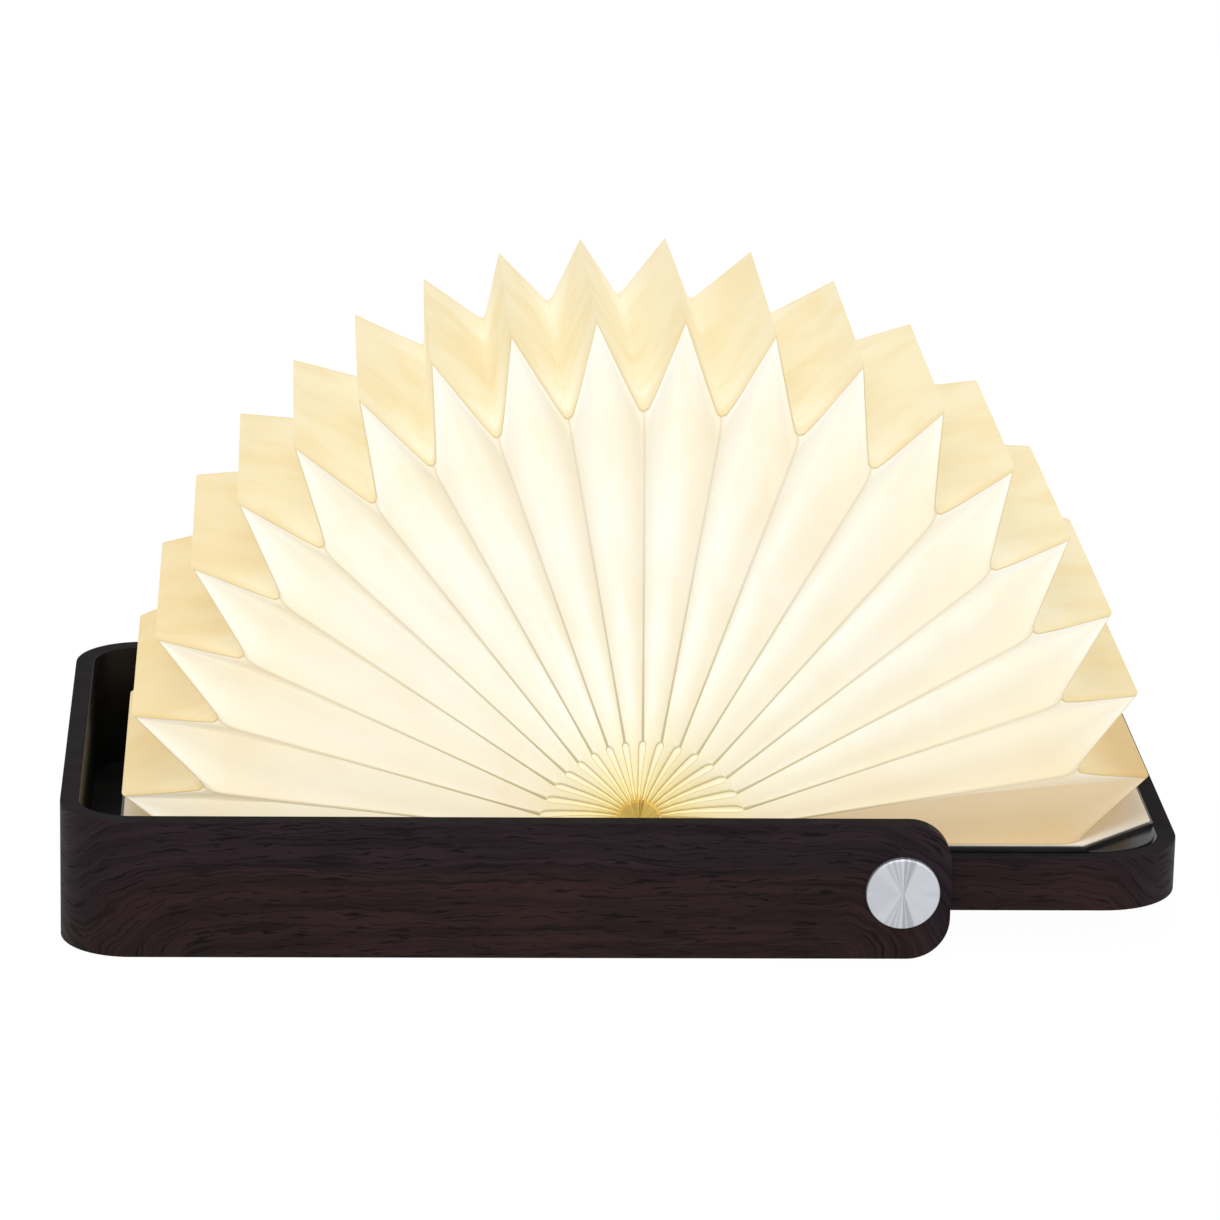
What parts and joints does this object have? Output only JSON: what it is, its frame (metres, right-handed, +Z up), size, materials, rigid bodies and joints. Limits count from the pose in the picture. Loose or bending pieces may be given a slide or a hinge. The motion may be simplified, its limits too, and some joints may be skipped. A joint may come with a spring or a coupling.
{
  "type": "folding book lamp",
  "caption": "Table lamp that opens like a book: a pleated paper fan lit from its spine, in a long wooden band with a hinged short band that carries the open cover.",
  "frame": {"origin": "middle of the open lamp's footprint, on the surface that it stands on", "axes": "+X from the closed end of the long band to the short band, +Y along the spine away from the front arm, +Z up"},
  "size_m": [0.2374, 0.1288, 0.1322],
  "materials": {
    "wood_band": "dark open-grained wood, satin oil finish",
    "board_black": "black-dyed board, matt",
    "pleated_paper": "cream fibre paper lit from inside",
    "spine_brass": "turned, satin",
    "spun_alloy": "spun concentric lines",
    "pin_steel": "turned",
    "black_plastic": "moulded, matt",
    "tube_diffuser": "opal",
    "board_green": "solder mask",
    "strip_white": "white solder mask",
    "cell_wrap": "foil wrap",
    "wire_red": "insulation",
    "led_face": "phosphor",
    "glass_clear": "clear"
  },
  "bodies": {
    "base": {"outer_frame": "wood_band", "base_board": "board_black", "deck_rails": "board_black", "left_cover": "board_black", "battery_pack": "cell_wrap", "charge_board": "board_green", "charge_socket": "pin_steel", "reed_switch": "glass_clear", "wire_harness": "wire_red", "spine_cradles": "black_plastic", "cradle_screws": "pin_steel", "spine_tube": "tube_diffuser", "spine_cap_front": "spine_brass", "spine_cap_rear": "spine_brass", "led_strip": "strip_white", "led_chips": "led_face", "pin_front": "pin_steel", "pin_rear": "pin_steel", "disc_front": "spun_alloy", "disc_rear": "spun_alloy", "washer_front": "pin_steel", "washer_rear": "pin_steel", "nut_front": "pin_steel", "nut_rear": "pin_steel", "end_leaf_left": "pleated_paper"},
    "handle": {"handle_band": "wood_band"},
    "leaf_01": {"pleat_01": "pleated_paper"},
    "leaf_02": {"pleat_02": "pleated_paper"},
    "leaf_03": {"pleat_03": "pleated_paper"},
    "leaf_04": {"pleat_04": "pleated_paper"},
    "leaf_05": {"pleat_05": "pleated_paper"},
    "leaf_06": {"pleat_06": "pleated_paper"},
    "leaf_07": {"pleat_07": "pleated_paper"},
    "leaf_08": {"pleat_08": "pleated_paper"},
    "leaf_09": {"pleat_09": "pleated_paper"},
    "leaf_10": {"pleat_10": "pleated_paper"},
    "leaf_11": {"pleat_11": "pleated_paper"},
    "leaf_12": {"pleat_12": "pleated_paper"},
    "leaf_13": {"pleat_13": "pleated_paper"},
    "leaf_14": {"pleat_14": "pleated_paper"},
    "leaf_15": {"pleat_15": "pleated_paper"},
    "leaf_16": {"pleat_16": "pleated_paper"},
    "leaf_17": {"pleat_17": "pleated_paper"},
    "leaf_18": {"pleat_18": "pleated_paper"},
    "leaf_19": {"pleat_19": "pleated_paper", "right_cover": "board_black", "cover_insert": "board_black", "cover_magnet": "pin_steel", "end_leaf_right": "pleated_paper"}
  },
  "joints": [
    {"name": "handle_hinge", "type": "hinge", "parent": "base", "child": "handle", "pos_m": [0.05825, 0, 0.015], "axis": [0, 1, 0], "range_deg": [0, 170]},
    {"name": "fold_01", "type": "hinge", "parent": "base", "child": "leaf_01", "pos_m": [0.00375, 0, 0.0225], "axis": [0, 1, 0], "range_deg": [-9.12, 0], "deforming": ["pleat_01"]},
    {"name": "fold_02", "type": "hinge", "parent": "leaf_01", "child": "leaf_02", "pos_m": [0.00375, 0, 0.0225], "axis": [0, 1, 0], "range_deg": [-9.04, 0], "deforming": ["pleat_02"]},
    {"name": "fold_03", "type": "hinge", "parent": "leaf_02", "child": "leaf_03", "pos_m": [0.00375, 0, 0.0225], "axis": [0, 1, 0], "range_deg": [-8.89, 0], "deforming": ["pleat_03"]},
    {"name": "fold_04", "type": "hinge", "parent": "leaf_03", "child": "leaf_04", "pos_m": [0.00375, 0, 0.0225], "axis": [0, 1, 0], "range_deg": [-8.72, 0], "deforming": ["pleat_04"]},
    {"name": "fold_05", "type": "hinge", "parent": "leaf_04", "child": "leaf_05", "pos_m": [0.00375, 0, 0.0225], "axis": [0, 1, 0], "range_deg": [-8.59, 0], "deforming": ["pleat_05"]},
    {"name": "fold_06", "type": "hinge", "parent": "leaf_05", "child": "leaf_06", "pos_m": [0.00375, 0, 0.0225], "axis": [0, 1, 0], "range_deg": [-8.53, 0], "deforming": ["pleat_06"]},
    {"name": "fold_07", "type": "hinge", "parent": "leaf_06", "child": "leaf_07", "pos_m": [0.00375, 0, 0.0225], "axis": [0, 1, 0], "range_deg": [-8.58, 0], "deforming": ["pleat_07"]},
    {"name": "fold_08", "type": "hinge", "parent": "leaf_07", "child": "leaf_08", "pos_m": [0.00375, 0, 0.0225], "axis": [0, 1, 0], "range_deg": [-8.74, 0], "deforming": ["pleat_08"]},
    {"name": "fold_09", "type": "hinge", "parent": "leaf_08", "child": "leaf_09", "pos_m": [0.00375, 0, 0.0225], "axis": [0, 1, 0], "range_deg": [-9, 0], "deforming": ["pleat_09"]},
    {"name": "fold_10", "type": "hinge", "parent": "leaf_09", "child": "leaf_10", "pos_m": [0.00375, 0, 0.0225], "axis": [0, 1, 0], "range_deg": [-9.31, 0], "deforming": ["pleat_10"]},
    {"name": "fold_11", "type": "hinge", "parent": "leaf_10", "child": "leaf_11", "pos_m": [0.00375, 0, 0.0225], "axis": [0, 1, 0], "range_deg": [-9.62, 0], "deforming": ["pleat_11"]},
    {"name": "fold_12", "type": "hinge", "parent": "leaf_11", "child": "leaf_12", "pos_m": [0.00375, 0, 0.0225], "axis": [0, 1, 0], "range_deg": [-9.88, 0], "deforming": ["pleat_12"]},
    {"name": "fold_13", "type": "hinge", "parent": "leaf_12", "child": "leaf_13", "pos_m": [0.00375, 0, 0.0225], "axis": [0, 1, 0], "range_deg": [-10.04, 0], "deforming": ["pleat_13"]},
    {"name": "fold_14", "type": "hinge", "parent": "leaf_13", "child": "leaf_14", "pos_m": [0.00375, 0, 0.0225], "axis": [0, 1, 0], "range_deg": [-10.09, 0], "deforming": ["pleat_14"]},
    {"name": "fold_15", "type": "hinge", "parent": "leaf_14", "child": "leaf_15", "pos_m": [0.00375, 0, 0.0225], "axis": [0, 1, 0], "range_deg": [-10.03, 0], "deforming": ["pleat_15"]},
    {"name": "fold_16", "type": "hinge", "parent": "leaf_15", "child": "leaf_16", "pos_m": [0.00375, 0, 0.0225], "axis": [0, 1, 0], "range_deg": [-9.89, 0], "deforming": ["pleat_16"]},
    {"name": "fold_17", "type": "hinge", "parent": "leaf_16", "child": "leaf_17", "pos_m": [0.00375, 0, 0.0225], "axis": [0, 1, 0], "range_deg": [-9.72, 0], "deforming": ["pleat_17"]},
    {"name": "fold_18", "type": "hinge", "parent": "leaf_17", "child": "leaf_18", "pos_m": [0.00375, 0, 0.0225], "axis": [0, 1, 0], "range_deg": [-9.57, 0], "deforming": ["pleat_18"]},
    {"name": "fold_19", "type": "hinge", "parent": "leaf_18", "child": "leaf_19", "pos_m": [0.00375, 0, 0.0225], "axis": [0, 1, 0], "range_deg": [-9.49, 0], "deforming": ["pleat_19"]}
  ],
  "couplings": [
    {"joint": "fold_02", "follows": "fold_01", "ratio": 0.9905},
    {"joint": "fold_03", "follows": "fold_01", "ratio": 0.9742},
    {"joint": "fold_04", "follows": "fold_01", "ratio": 0.9558},
    {"joint": "fold_05", "follows": "fold_01", "ratio": 0.9408},
    {"joint": "fold_06", "follows": "fold_01", "ratio": 0.9343},
    {"joint": "fold_07", "follows": "fold_01", "ratio": 0.9397},
    {"joint": "fold_08", "follows": "fold_01", "ratio": 0.9575},
    {"joint": "fold_09", "follows": "fold_01", "ratio": 0.9857},
    {"joint": "fold_10", "follows": "fold_01", "ratio": 1.0198},
    {"joint": "fold_11", "follows": "fold_01", "ratio": 1.0539},
    {"joint": "fold_12", "follows": "fold_01", "ratio": 1.0821},
    {"joint": "fold_13", "follows": "fold_01", "ratio": 1.0999},
    {"joint": "fold_14", "follows": "fold_01", "ratio": 1.1053},
    {"joint": "fold_15", "follows": "fold_01", "ratio": 1.0988},
    {"joint": "fold_16", "follows": "fold_01", "ratio": 1.0838},
    {"joint": "fold_17", "follows": "fold_01", "ratio": 1.0654},
    {"joint": "fold_18", "follows": "fold_01", "ratio": 1.0491},
    {"joint": "fold_19", "follows": "fold_01", "ratio": 1.0396}
  ]
}
